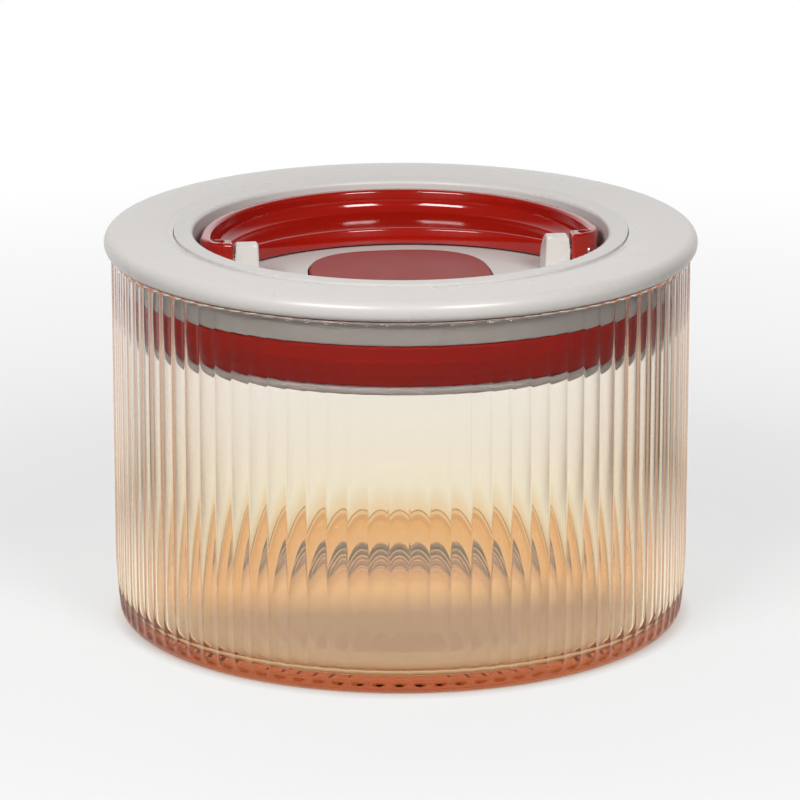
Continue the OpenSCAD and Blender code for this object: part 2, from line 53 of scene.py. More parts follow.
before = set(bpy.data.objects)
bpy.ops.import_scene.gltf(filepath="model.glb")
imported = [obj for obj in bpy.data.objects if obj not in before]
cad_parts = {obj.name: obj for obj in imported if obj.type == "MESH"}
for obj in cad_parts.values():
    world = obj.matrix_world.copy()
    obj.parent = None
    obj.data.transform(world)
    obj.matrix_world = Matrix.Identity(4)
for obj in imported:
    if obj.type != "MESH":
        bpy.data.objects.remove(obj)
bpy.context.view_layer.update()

GLASS_LOW, GLASS_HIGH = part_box("glass_jar")
CROWN_LOW, CROWN_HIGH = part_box("crown_ring")
SEAL_LOW, SEAL_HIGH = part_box("seal_ring")
BUTTON_LOW, BUTTON_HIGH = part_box("vent_button")
HANDLE_LOW, HANDLE_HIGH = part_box("carry_handle")
SPRING_LOW, SPRING_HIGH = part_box("button_spring")

MM = 0.001
WHITE = (1.0, 1.0, 1.0, 1.0)


# Colour and node helpers


def linear(hex_code):
    """Linear colour of an sRGB hex value."""
    parts = [int(hex_code[i : i + 2], 16) / 255 for i in (0, 2, 4)]
    return [c / 12.92 if c <= 0.04045 else ((c + 0.055) / 1.055) ** 2.4 for c in parts]


def rgba(colour):
    """A colour with full alpha, as a node's socket wants it."""
    return (*colour[:3], 1.0)


def add_node(tree, kind, settings=None, inputs=None, links=None):
    """Adds a node: settings are its attributes, inputs its socket values and links its inputs' sources."""
    node = tree.nodes.new(kind)
    for key, value in (settings or {}).items():
        setattr(node, key, value)
    for key, value in (inputs or {}).items():
        node.inputs[key].default_value = value
    for key, source in (links or {}).items():
        tree.links.new(source, node.inputs[key])
    return node


def map_range(tree, value, start, end, low=0.0, high=1.0, smooth=False):
    """Maps a socket's value from start-end to low-high, held at both ends."""
    return add_node(
        tree,
        "ShaderNodeMapRange",
        {"interpolation_type": "SMOOTHSTEP" if smooth else "LINEAR"},
        {"From Min": start, "From Max": end, "To Min": low, "To Max": high},
        {"Value": value},
    ).outputs[0]


def noise(tree, size, detail):
    """Noise in the piece's own space, with grains about size metres wide."""
    place = add_node(tree, "ShaderNodeTexCoord")
    texture = add_node(
        tree,
        "ShaderNodeTexNoise",
        inputs={"Scale": 1 / size, "Detail": detail},
        links={"Vector": place.outputs["Object"]},
    )
    return texture.outputs["Fac"]


def shaded_colour(tree, colour, shade):
    """A colour made lighter and darker by a socket's value, which is 1 for the colour itself."""
    return add_node(
        tree, "ShaderNodeHueSaturation", inputs={"Color": rgba(colour)}, links={"Value": shade}
    ).outputs[0]


def larger(tree, first, second):
    return add_node(
        tree, "ShaderNodeMath", {"operation": "MAXIMUM"}, links={0: first, 1: second}
    ).outputs[0]


def mixed(tree, share, first, second):
    """First colour where share is 0, second where it is 1; each is a colour or a socket."""
    inputs, links = {}, {0: share}
    for key, side in ((6, first), (7, second)):
        (inputs if isinstance(side, tuple) else links)[key] = side
    return add_node(tree, "ShaderNodeMix", {"data_type": "RGBA"}, inputs, links).outputs[2]


def new_material(name):
    """A material with only its output, which the caller fills."""
    material = bpy.data.materials.new(name)
    material.use_nodes = True
    material.node_tree.nodes.clear()
    return material, material.node_tree


def finish_surface(tree, shader, volume=None):
    """Joins the shader, and a volume where there is one, to the material's output."""
    links = {"Surface": shader.outputs[0]}
    if volume:
        links["Volume"] = volume.outputs[0]
    add_node(tree, "ShaderNodeOutputMaterial", links=links)


# Materials


def tinted_glass(settings):
    """Pressed soda-lime glass, sprayed with an amber tint that fades out towards the rim.

    The flutes bend the light into bright and dark stripes; the tint deepens towards the foot,
    and long ways through the glass, as in the foot's corner, turn deep brown.
    """
    material, tree = new_material("pressed_glass_amber_fade")
    place = add_node(tree, "ShaderNodeTexCoord")
    height = add_node(tree, "ShaderNodeSeparateXYZ", links={0: place.outputs["Object"]})
    share = map_range(tree, height.outputs["Z"], 0.0, settings.tint_height)
    ramp = add_node(tree, "ShaderNodeValToRGB", links={0: share})
    stops = ramp.color_ramp.elements
    stops[0].color, stops[1].color = rgba(settings.tint_foot), rgba(settings.tint_rim)
    stops.new(0.15).color = rgba(settings.tint_low)
    stops.new(0.4).color = rgba(settings.tint_middle)
    glass = add_node(
        tree,
        "ShaderNodeBsdfPrincipled",
        inputs={"Transmission Weight": 1.0, "Roughness": 0.0, "IOR": 1.52},
        links={"Base Color": ramp.outputs["Color"]},
    )
    depth = add_node(
        tree,
        "ShaderNodeVolumeAbsorption",
        inputs={"Color": rgba(settings.glass_depth_colour), "Density": settings.glass_depth_density},
    )
    finish_surface(tree, glass, depth)
    return material


def moulded_plastic(name, colour, roughness, grain_mm=0.25, grain=0.02, coat=0.0, mottle=0.03):
    """Injection-moulded ABS: an even body colour with a faint flow mottle and the fine grain of the tool."""
    material, tree = new_material(name)
    flow = noise(tree, 18 * MM, 2.0)
    tone = shaded_colour(tree, colour, map_range(tree, flow, 0.3, 0.7, 1 - mottle, 1 + mottle))
    bump = add_node(
        tree,
        "ShaderNodeBump",
        inputs={"Strength": grain, "Distance": 0.05 * MM},
        links={"Height": noise(tree, grain_mm * MM, 1.0)},
    )
    gloss = map_range(tree, flow, 0.3, 0.7, roughness * 0.92, roughness * 1.08)
    shader = add_node(
        tree,
        "ShaderNodeBsdfPrincipled",
        inputs={"IOR": 1.53, "Coat Weight": coat, "Coat Roughness": 0.05},
        links={"Base Color": tone, "Roughness": gloss, "Normal": bump.outputs[0]},
    )
    finish_surface(tree, shader)
    return material


def silicone(name, colour):
    """Compression-moulded silicone: deep red with hardly any shine, because it lies against the glass."""
    material, tree = new_material(name)
    flow = noise(tree, 9 * MM, 3.0)
    gloss = map_range(tree, flow, 0.0, 1.0, 0.32, 0.48)
    tone = shaded_colour(tree, colour, map_range(tree, flow, 0.0, 1.0, 0.95, 1.05))
    shader = add_node(
        tree,
        "ShaderNodeBsdfPrincipled",
        inputs={"IOR": 1.41, "Specular IOR Level": 0.12},
        links={"Base Color": tone, "Roughness": gloss},
    )
    finish_surface(tree, shader)
    return material


def bright_steel(name):
    """Stainless steel wire and screws: bright metal with fine drawing marks."""
    material, tree = new_material(name)
    gloss = map_range(tree, noise(tree, 0.6 * MM, 4.0), 0.0, 1.0, 0.18, 0.38)
    shader = add_node(
        tree,
        "ShaderNodeBsdfPrincipled",
        inputs={"Base Color": rgba(linear("c9c7c4")), "Metallic": 1.0},
        links={"Roughness": gloss},
    )
    finish_surface(tree, shader)
    return material


# Mesh helpers


def new_piece(name, bm, body, material, replaced=(), smooth=True, crease=None):
    """Turns a bmesh into a piece that rides on a body; edges over crease degrees stay sharp."""
    bmesh.ops.remove_doubles(bm, verts=bm.verts, dist=0.0005 * MM)
    bmesh.ops.recalc_face_normals(bm, faces=bm.faces)
    for face in bm.faces:
        face.smooth = smooth
    mesh = bpy.data.meshes.new(name)
    bm.to_mesh(mesh)
    bm.free()
    if crease:
        mesh.set_sharp_from_angle(angle=math.radians(crease))
    piece = bpy.data.objects.new(name, mesh)
    bpy.context.scene.collection.objects.link(piece)
    if smooth:
        normals = piece.modifiers.new("flats_stay_flat", "WEIGHTED_NORMAL")
        normals.keep_sharp = True
    mesh.materials.append(material)
    if body:
        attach(piece, body)
    if replaced:
        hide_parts(*replaced)
    return piece


def bridge(bm, lower, upper):
    """Joins two rings of points, either of which may be a single point."""
    count = max(len(lower), len(upper))
    for i in range(count):
        j = (i + 1) % count
        if len(lower) == 1:
            bm.faces.new((lower[0], upper[i], upper[j]))
        elif len(upper) == 1:
            bm.faces.new((lower[i], lower[j], upper[0]))
        else:
            bm.faces.new((lower[i], lower[j], upper[j], upper[i]))


def skin(bm, rings, capped=False):
    """Joins rings in order, and where capped closes both ends with a face."""
    for a, b in zip(rings, rings[1:]):
        bridge(bm, a, b)
    if capped:
        bm.faces.new(rings[0])
        bm.faces.new(rings[-1])


def circle(bm, x, y, radius, height, turns):
    """Ring of points round an upright line."""
    angles = [math.tau * i / turns for i in range(turns)]
    return [bm.verts.new((x + radius * math.cos(t), y + radius * math.sin(t), height)) for t in angles]


def revolve(profile, turns=256, closed=True, bm=None):
    """Revolves a list of (radius, height) round the jar's axis."""
    bm = bm or bmesh.new()
    rings = []
    for radius, height in profile:
        if radius < 1e-6:
            rings.append([bm.verts.new((0, 0, height))])
            continue
        rings.append(circle(bm, 0, 0, radius, height, turns))
    skin(bm, rings + (rings[:1] if closed else []))
    return bm


def arc(cx, cy, radius, start, end, steps):
    """Points of an arc in the (radius, height) plane, angles in degrees."""
    return [
        (
            cx + radius * math.cos(math.radians(start + (end - start) * i / steps)),
            cy + radius * math.sin(math.radians(start + (end - start) * i / steps)),
        )
        for i in range(steps + 1)
    ]


def rounded(corners, steps=5):
    """Points round a closed outline of (x, y, radius), with an arc at each corner."""
    points = []
    for k, (x, y, radius) in enumerate(corners):
        here = Vector((x, y))
        before = Vector(corners[k - 1][:2]) - here
        after = Vector(corners[(k + 1) % len(corners)][:2]) - here
        turn = math.pi - before.angle(after, math.pi)
        if radius <= 0 or abs(turn) < 0.02:
            points += [(x, y)] * (steps + 1)
            continue
        reach = min(radius * math.tan(turn / 2), 0.49 * before.length, 0.49 * after.length)
        radius = reach / math.tan(turn / 2)
        start, end = here + before.normalized() * reach, here + after.normalized() * reach
        middle = here + (before.normalized() + after.normalized()).normalized() * (
            radius / math.cos(turn / 2)
        )
        a, b = start - middle, end - middle
        for i in range(steps + 1):
            share = i / steps
            angle = a.angle_signed(b, 0.0) * -share
            points.append(tuple(middle + Matrix.Rotation(angle, 2) @ a))
    return points


def drop_doubles(points):
    """Leaves out points that lie on the one before."""
    return [p for k, p in enumerate(points) if (Vector(p) - Vector(points[k - 1])).length > 1e-6]


def inset(points, distance):
    """A closed plan outline moved inwards; points run counterclockwise."""
    moved = []
    for k, here in enumerate(points):
        before, after = points[k - 1], points[(k + 1) % len(points)]
        a = (Vector(here) - Vector(before)).normalized()
        b = (Vector(after) - Vector(here)).normalized()
        side = Vector((-a.y - b.y, a.x + b.x)).normalized()
        grow = 1 / max(0.5, math.sqrt((1 + a.dot(b)) / 2))
        moved.append(tuple(Vector(here) + side * distance * grow))
    return moved


def moulding(bm, outline, bottom, top, edge, foot=0.0, holes=()):
    """A solid over a plan outline, with rounded upper and lower edges and round blind holes in its top.

    bottom is a height, or a function that gives it at a point; a hole is (x, y, radius, depth).
    """
    under = bottom if callable(bottom) else lambda x, y: bottom
    levels = [(foot * (1 - math.sin(a)), foot * (1 - math.cos(a)), False) for a in quarter_round(foot)]
    levels += [(edge * (1 - math.cos(a)), edge * (1 - math.sin(a)), True) for a in quarter_round(edge)]
    rings = []
    for inward, away, upper in levels:
        ring = []
        for (x, y), (base_x, base_y) in zip(inset(outline, inward), outline):
            z = top - away if upper else under(base_x, base_y) + away
            ring.append(bm.verts.new((x, y, z)))
        rings.append(ring)
    skin(bm, rings)
    borders = [rings[-1]]
    for x, y, radius, depth in holes:
        lip, foot_round = 0.25 * MM, 0.3 * MM
        steps = arc(radius + lip, top - lip, lip, 90, 180, 4) + [(radius, top - depth + foot_round)]
        steps += arc(radius - foot_round, top - depth + foot_round, foot_round, 0, -90, 4)[1:]
        circles = [circle(bm, x, y, r, z, 48) for r, z in steps]
        skin(bm, circles + [[bm.verts.new((x, y, top - depth))]])
        borders.append(circles[0])
    for group in (borders, [rings[0]]):
        edges = [
            bm.edges.get((a, b)) or bm.edges.new((a, b))
            for ring in group
            for a, b in zip(ring, ring[1:] + ring[:1])
        ]
        bmesh.ops.triangle_fill(bm, use_beauty=True, use_dissolve=False, edges=edges)


def quarter_round(radius):
    """Angles along a quarter round, or just one of them for a sharp edge."""
    return [math.pi / 2 * i / 6 for i in range(7)] if radius > 0 else [math.pi / 2]


def paint(node_name, material):
    """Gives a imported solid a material."""
    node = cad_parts[node_name]
    node.data.materials.clear()
    node.data.materials.append(material)
    return node


# Settings


def length(name, description, default, **more):
    return bpy.props.FloatProperty(
        name=name, description=description, default=default, unit="LENGTH", subtype="DISTANCE", **more
    )


def rotation(name, description, degrees):
    return bpy.props.FloatProperty(
        name=name,
        description=description,
        default=math.radians(degrees),
        unit="ROTATION",
        subtype="ANGLE",
    )


def number(name, description, default, **more):
    return bpy.props.FloatProperty(name=name, description=description, default=default, **more)


def colour(name, description, hex_code):
    return bpy.props.FloatVectorProperty(
        name=name, description=description, default=linear(hex_code), subtype="COLOR", min=0.0, max=1.0
    )


class JarGlassSettings(bpy.types.PropertyGroup):
    """Sizes and tint of the glass."""

    radius: length("Radius", "Radius over the ridges", GLASS_HIGH[0])
    height: length("Height", "Height of the glass", GLASS_HIGH[2])
    wall: length("Wall", "Wall under a ridge", 2.6 * MM)
    floor: length("Floor", "Thickness of the floor", 3.8 * MM)
    foot_round: length("Foot round", "Radius of the outside corner at the foot", 2.2 * MM)
    foot_draw: length("Foot draw-in", "How far the wall draws in towards the foot", 1.2 * MM)
    foot_draw_height: length("Foot draw-in height", "Height at which the wall starts to draw in", 17 * MM)
    flute_low: length("Flute start", "Height of the flutes' round lower ends", 1.9 * MM)
    inner_round: length("Inner round", "Radius of the inside corner at the floor", 3.4 * MM)
    rim_round: length("Rim round", "Radius of the rim's edges", 1.2 * MM)
    punt_radius: length("Hollow radius", "Radius of the domed hollow under the base", 42 * MM)
    punt_depth: length("Hollow depth", "Depth of the hollow under the base", 1.8 * MM)
    flutes: bpy.props.IntProperty(name="Flutes", description="Flutes round the jar", default=90)
    flute_depth: length("Flute depth", "Depth of a flute", 0.5 * MM)
    flute_land: length("Ridge", "Width of the ridge between flutes", 0.3 * MM)
    flute_turn: rotation("First flute", "Turn of the first flute from the hinge axis", 3.1)
    flute_runout: length("Flute run-out", "Height over which a flute grows to its depth", 1.6 * MM)
    tint_height: length("Tint height", "Height at which the tint has faded out", 74 * MM)
    tint_foot: colour("Tint at foot", "Tint at the foot", "f8d69c")
    tint_low: colour("Tint low", "Tint a seventh of the way up", "fffbe7")
    tint_middle: colour("Tint middle", "Tint two fifths of the way up", "fffdf3")
    tint_rim: colour("Tint at rim", "Tint where it has faded out", "ffffff")
    glass_depth_colour: colour("Depth colour", "Colour of long ways through the glass", "edc08c")
    glass_depth_density: number("Depth density", "Absorption per metre in the glass", 30.0, min=0.0)


class JarLidSettings(bpy.types.PropertyGroup):
    """Sizes and colours of the lid."""

    crown_radius: length("Crown radius", "Outer radius of the crown ring", CROWN_HIGH[0])
    crown_top: length("Crown top", "Height of the crown ring's shoulder", 93.4 * MM)
    crown_edge: length("Crown edge", "Thickness of the crown ring at its round edge", 5.1 * MM)
    crown_rise: length("Crown rise", "Rise of the crown's dome", 0.33 * MM)
    skirt_radius: length("Skirt radius", "Outer radius of the skirt in the glass", 65.0 * MM)
    skirt_wall: length("Skirt wall", "Wall of the skirt", 2.4 * MM)
    seam_radius: length("Seam radius", "Radius of the seam between crown and well", 53.6 * MM)
    floor_height: length("Well floor", "Height of the well's floor", 81.9 * MM)
    handle_radius: length("Handle radius", "Outer radius of the handle", HANDLE_HIGH[0])
    handle_wall: length("Handle wall", "Thickness of the handle's outer wall", 2.4 * MM)
    handle_round: length("Handle round", "Rounding of the handle's edges", 0.8 * MM)
    handle_fillet: length("Handle fillet", "Hollow between the handle's wall and its grip", 3.0 * MM)
    grip_radius: length("Grip radius", "Radius of the grip's inner edge", 47.3 * MM)
    grip_back: length("Grip back", "Distance of the grip's inner edge from the middle", 28.3 * MM)
    grip_height: length("Grip height", "Height of the grip's inner edge", 3.9 * MM)
    grip_slope: number("Grip slope", "Rise of the grip towards the wall", 0.02)
    lug_face: length("Lug face", "Distance of the lugs' outer faces from the middle", 40.0 * MM)
    button_half: length("Button half width", "Half of the button's width", BUTTON_HIGH[0])
    button_power: number("Button squareness", "Power of the outline, 2 is a circle", 2.7)
    white: colour("White", "White of the glossy mouldings", "dfdad5")
    tray_white: colour("Tray white", "White of the satin mouldings", "dedad6")
    red: colour("Red", "Red of the handle", "a31507")
    button_red: colour("Button red", "Red of the matte button", "9c241a")
    seal_red: colour("Seal red", "Red of the silicone", "c81c05")


class JarStageSettings(bpy.types.PropertyGroup):
    """Studio and camera."""

    azimuth: rotation("Azimuth", "Turn of the camera round the jar", -6.6)
    elevation: rotation("Elevation", "Height of the camera above the horizon", 16.0)
    distance: length("Distance", "Distance from the camera to its target", 1.2048)
    target_height: length("Target height", "Height that the camera looks at", 44.4 * MM)
    lens: number("Lens", "Focal length in millimetres, for a 36 mm sensor", 227.34)
    shift_x: number("Shift across", "Shift of the picture across, as a share of its width", -0.001)
    shift_y: number("Shift up", "Shift of the picture up, as a share of its width", 0.0341)
    lamp_distance: length("Lamp distance", "Distance of the soft boxes from the middle of the foot", 1.1)
    lamp_elevation: rotation("Lamp elevation", "Height of the soft boxes above the horizon", 38.0)
    lamp_aim: length("Lamp aim", "Height that the soft boxes point at", 60 * MM)
    backdrop: colour("Backdrop", "Colour of the floor and the backdrop", "f3f3f3")
    floor_glow: number("Floor glow", "Share of the floor's white that the shadow leaves", 0.6)
    floor_glow_seen_through: number(
        "Floor glow in glass", "The same share for the floor seen through glass", 0.95
    )
    shadow_start: length("Shadow start", "Distance from the jar at which the shadow starts to fade", 0.12)
    shadow_end: length("Shadow end", "Distance from the jar at which the shadow has faded out", 0.45)
    near_start: length("Near floor", "Radius of the floor that is bright on all sides", 0.10)
    near_end: length("Near floor end", "Radius at which only the floor behind is bright", 0.20)
    # Painted light and painted shade: colours that the floor glows with under the jar, in place of light
    # through the glass and shade under it
    painted_light_under_back: colour("Light under the jar", "Colour of the floor under the back of the jar", "f4c48c")
    painted_shade_under_front: colour("Light under the front", "Colour of the floor under the front", "9a6c42")
    room_front: number("Room in front", "Brightness of the room in front of the jar", 0.06)
    room_back: number("Backdrop light", "Brightness of the lit backdrop behind the jar", 1.0)
    backdrop_edge: number("Backdrop edge", "Sideways share of its direction where it is dark", 0.3)
    backdrop_full: number("Backdrop full", "Sideways share of its direction where it is fully lit", 0.85)


# Operators


# Where the points of a flute lie across it, closest at its two sharp edges
FLUTE_STEPS = (0, 0.03, 0.055, 0.09, 0.16, 0.26, 0.38, 0.5, 0.62, 0.74, 0.84, 0.91, 0.945, 0.97)


def glass_outside(s):
    """Outer outline of the glass, from the middle of its base up to the middle of its rim."""

    def side(height):
        share = max(0.0, 1 - height / s.foot_draw_height)
        return s.radius - s.foot_draw * share * share

    dome = (s.punt_radius**2 + s.punt_depth**2) / (2 * s.punt_depth)
    radii = [s.punt_radius * i / 14 for i in range(15)]
    points = [(r, s.punt_depth - dome + math.sqrt(dome**2 - r * r)) for r in radii]
    corner = side(s.foot_round) - s.foot_round
    points += [(s.punt_radius + 0.3 * MM, 0.0), (corner - 0.5 * MM, 0.0)]
    points += arc(corner, s.foot_round, s.foot_round, -90, 0, 9)
    points += [(side(z), z) for z in (s.foot_round + k * 0.24 * MM for k in range(1, 9))]
    points += [(side(z), z) for z in (k * MM for k in (5.5, 7.5, 10, 13, 17))]
    points += [(s.radius, s.height * k) for k in (0.4, 0.7)]
    points += [(s.radius, s.height - s.rim_round - 0.5 * MM)]
    return points + arc(s.radius - s.rim_round, s.height - s.rim_round, s.rim_round, 0, 90, 8)


def glass_inside(s):
    """Inner outline of the glass, from its rim down to the middle of its floor."""
    bore, above = s.radius - s.wall, s.floor + s.inner_round
    points = arc(bore + s.rim_round, s.height - s.rim_round, s.rim_round, 90, 180, 6)
    points += [(bore, s.height - s.rim_round - 0.5 * MM), (bore, s.height * 0.5)]
    points += [(bore, above + 0.5 * MM)]
    points += arc(bore - s.inner_round, above, s.inner_round, 0, -90, 8)
    return points + [(bore - s.inner_round - 1 * MM, s.floor), (0.0, s.floor)]


def fluted(s, radius, height, share):
    """Radius of the outside where it is cut by a flute; share goes from 0 to 1 across the flute.

    A flute is cut by a round tool. It runs straight out over the rim, and at the foot it has a round end.
    """
    chord = 2 * s.radius * math.sin(math.pi / s.flutes) - s.flute_land
    tool = (chord * chord / 4 + s.flute_depth**2) / (2 * s.flute_depth)
    across = (share - 0.5) * math.tau / s.flutes * s.radius
    cut = s.flute_depth - tool + math.sqrt(tool**2 - across**2) if abs(across) < chord / 2 else 0.0
    if height > s.height / 2:
        return min(radius, s.radius - cut)
    missing = max(0.0, 1 - (height - s.flute_low) / s.flute_runout)
    return radius - max(0.0, cut - s.flute_depth * missing**2)


class JAR_OT_glass(bpy.types.Operator):
    """Builds the fluted glass jar"""

    bl_idname = "jar.glass"
    bl_label = "Glass jar"

    def execute(self, context):
        s = context.scene.jar_glass
        outside, inside = glass_outside(s), glass_inside(s)
        bm = bmesh.new()
        rings = []
        for index, (radius, height) in enumerate(outside + inside):
            if radius < 1e-9:
                rings.append([bm.verts.new((0, 0, height))])
                continue
            ring = []
            for flute in range(s.flutes):
                for step in FLUTE_STEPS:
                    turn = s.flute_turn + (flute + step - 0.5) * math.tau / s.flutes
                    r = fluted(s, radius, height, step) if index < len(outside) else radius
                    ring.append(bm.verts.new((r * math.cos(turn), r * math.sin(turn), height)))
            rings.append(ring)
        skin(bm, rings)
        new_piece("fluted_glass", bm, "jar", tinted_glass(s), ("glass_jar",))
        return {"FINISHED"}


def crown_outline(s):
    """Closed section of the crown ring: seam, cove, dome, round nose, and the skirt inside the jar."""
    top, nose = s.crown_top, s.crown_edge / 2
    under = top - s.crown_edge
    lip, cove_width, cove_drop, ledge = 0.2 * MM, 3 * MM, 0.6 * MM, 2.1 * MM
    seam, dome_out = s.seam_radius, s.crown_radius - nose
    dome_in = seam + lip + cove_width
    points = [(seam, top - ledge), (seam, top - cove_drop - lip)]
    points += arc(seam + lip, top - cove_drop - lip, lip, 180, 90, 5)
    for i in range(1, 13):
        t = i / 12
        rise = cove_drop * t * t * (3 - 2 * t)
        points.append((seam + lip + t * cove_width, top - cove_drop + rise))
    for i in range(1, 25):
        r = dome_in + (dome_out - dome_in) * i / 24
        share = 2 * i / 24 - 1
        points.append((r, top + s.crown_rise * (1 - share * share)))
    points += arc(dome_out, top - nose, nose, 82, -90, 28)
    skirt_in, low, root, end = s.skirt_radius - s.skirt_wall, CROWN_LOW[2], 0.5 * MM, 0.4 * MM
    points += arc(s.skirt_radius + root, under - root, root, 90, 180, 5)
    points += arc(s.skirt_radius - end, low + end, end, 0, -90, 5)
    points += arc(skirt_in + end, low + end, end, -90, -180, 5)
    ceiling, rib, rib_foot = top - 2.4 * MM, 2 * MM, top - 4.6 * MM
    ledge_in, ledge_foot = seam - 1.8 * MM, top - 4.3 * MM
    points += [(skirt_in, ceiling), (seam + rib, ceiling), (seam + rib, rib_foot), (seam, rib_foot)]
    return points + [(seam, ledge_foot), (ledge_in, ledge_foot), (ledge_in, top - ledge)]


def lug(bm, s, side):
    """Upright that carries the handle: flat front and top, round back, and a slight taper to its top."""
    front, back, foot = -4.75 * MM, 4.5 * MM, s.floor_height - 1.5 * MM
    top, wide, edge, taper = s.floor_height + 9.6 * MM, 6.1 * MM, 0.7 * MM, 0.14
    corners = [(front, foot, 0), (back, foot, 0), (back, top - 4.5 * MM, 6 * MM)]
    corners += [(front + 4.4 * MM, top, 6 * MM), (front, top, 0.9 * MM)]
    outline = drop_doubles(rounded(corners, 8))
    middle = side * (s.lug_face - 0.25 * MM - wide / 2)
    rings = []
    for a in [math.pi * i / 12 for i in range(13)]:
        inward = edge * (1 - math.sin(a))
        out = -math.cos(a) * edge + (-1 if a < math.pi / 2 else 1) * (wide / 2 - edge)
        ring = []
        for y, z in inset(outline, inward):
            lean = 1 - taper * max(0.0, (z - s.floor_height) / (top - s.floor_height))
            ring.append(bm.verts.new((middle + out * lean, y, z)))
        rings.append(ring)
    skin(bm, rings, capped=True)


class JAR_OT_mouldings(bpy.types.Operator):
    """Builds the crown ring and gives the white mouldings their finish"""

    bl_idname = "jar.mouldings"
    bl_label = "White mouldings"

    def execute(self, context):
        s = context.scene.jar_lid
        gloss = moulded_plastic("abs_white_gloss", s.white, 0.28, grain=0.0, mottle=0.01)
        satin = moulded_plastic("abs_white_satin", s.tray_white, 0.38, grain=0.02, mottle=0.01)
        bm = revolve(crown_outline(s), 288)
        new_piece("crown_moulding", bm, "lid", gloss, ("crown_ring",), crease=40)
        bm = bmesh.new()
        for side in (-1, 1):
            lug(bm, s, side)
        new_piece("lug_mouldings", bm, "clamp", gloss, (), crease=40)
        for name in ("lift_ring", "clamp_plate"):
            paint(name, gloss)
        for name in ("well_tray", "plug_body"):
            paint(name, satin)
        return {"FINISHED"}


def handle_outline(s):
    """Plan outline of the handle's wall with its two end blocks, counterclockwise."""
    outer, inner = s.handle_radius, s.handle_radius - s.handle_wall
    face, back = s.lug_face, -0.5 * MM
    end_middle, end_radius = Vector((38.6, 2.6)) * MM, 8.7 * MM
    start = math.degrees(math.asin((-5.7 * MM - end_middle.y) / end_radius))
    joint = math.degrees(math.atan2(end_middle.y, end_middle.x))
    half = arc(face + 0.6 * MM, -5.35 * MM, 0.6 * MM, 180, 270 + 12, 6)
    half += arc(*end_middle, end_radius, start + 4.5, joint - 2, 20)
    half += arc(0, 0, outer, joint + 2, 90, 80)
    inside = arc(0, 0, inner, 90, math.degrees(math.asin((back + 1.1 * MM) / inner)), 80)
    corner = inside[-1]
    inside += arc(corner[0] - 0.75 * MM, corner[1] - 0.35 * MM, 0.75 * MM, 0, -90, 6)[1:]
    inside += arc(face + 0.6 * MM, back - 0.6 * MM, 0.6 * MM, 90, 180, 6)
    mirror = [(-x, y) for x, y in half[:-1]]
    mirror_inside = [(-x, y) for x, y in inside[1:]]
    return drop_doubles(half + mirror[::-1] + mirror_inside[::-1] + inside)


def grip_section(s, turn, low):
    """Section of the grip at a turn round the jar's axis, as (distance, height) from its foot to its wall."""
    c, n = math.cos(turn), math.sin(turn)
    wall, centre = s.handle_radius - s.handle_wall, s.grip_back - s.grip_radius
    fillet, edge, foot, in_wall = s.handle_fillet, 0.7 * MM, 0.4 * MM, 0.8 * MM
    grip = centre * n + math.sqrt(s.grip_radius**2 - (centre * c) ** 2)
    inner = min(s.lug_face / max(abs(c), 1e-6), grip)

    def top(d):
        away = math.hypot(d * c, d * n - centre)
        rise = max(away - s.grip_radius, 0) * s.grip_slope
        past = max(0.0, d - (wall - fillet))
        bend = fillet - math.sqrt(max(fillet**2 - past**2, 0))
        return low + s.grip_height + rise + bend

    points = [
        (inner + foot * (1 - math.sin(a)), low + foot * (1 - math.cos(a))) for a in quarter_round(foot)
    ]
    points += [
        (inner + edge * (1 - math.cos(a)), top(inner + edge) - edge * (1 - math.sin(a)))
        for a in quarter_round(edge)
    ]
    room = max(wall - fillet - inner - edge, 0.05 * MM)
    flat = [inner + edge + room * k / 8 for k in range(1, 9)]
    points += [(d, top(d)) for d in flat]
    bend = [flat[-1] + (wall - flat[-1]) * math.sin(math.pi / 2 * k / 12) for k in range(1, 13)]
    points += [(d, top(min(d, wall))) for d in bend]
    return points + [(wall + in_wall, top(wall)), (wall + in_wall, low)]


class JAR_OT_handle(bpy.types.Operator):
    """Builds the carry handle"""

    bl_idname = "jar.handle"
    bl_label = "Carry handle"

    def execute(self, context):
        s = context.scene.jar_lid
        red = moulded_plastic("abs_red_gloss", s.red, 0.12, grain=0.0, coat=0.5)
        low, high = HANDLE_LOW[2], HANDLE_HIGH[2]
        nose, nose_start = 3.0 * MM, -3.2 * MM

        def under(x, y):
            past = min(max(nose_start - y, 0.0), nose * 0.995)
            return low + 0.02 * MM + nose - math.sqrt(nose**2 - past**2)

        bm = bmesh.new()
        recesses = [(side * 43.45 * MM, -2.6 * MM, 1.55 * MM, 2.2 * MM) for side in (-1, 1)]
        moulding(bm, handle_outline(s), under, high, s.handle_round, 0.4 * MM, recesses)
        rings = []
        first, last, count = -0.66, 180.66, 181
        for i in range(count):
            turn = math.radians(first + (last - first) * i / (count - 1))
            c, n = math.cos(turn), math.sin(turn)
            rings.append([bm.verts.new((d * c, d * n, z)) for d, z in grip_section(s, turn, low)])
        skin(bm, rings, capped=True)
        new_piece("carry_handle_moulding", bm, "handle", red, ("carry_handle",), crease=38)
        return {"FINISHED"}


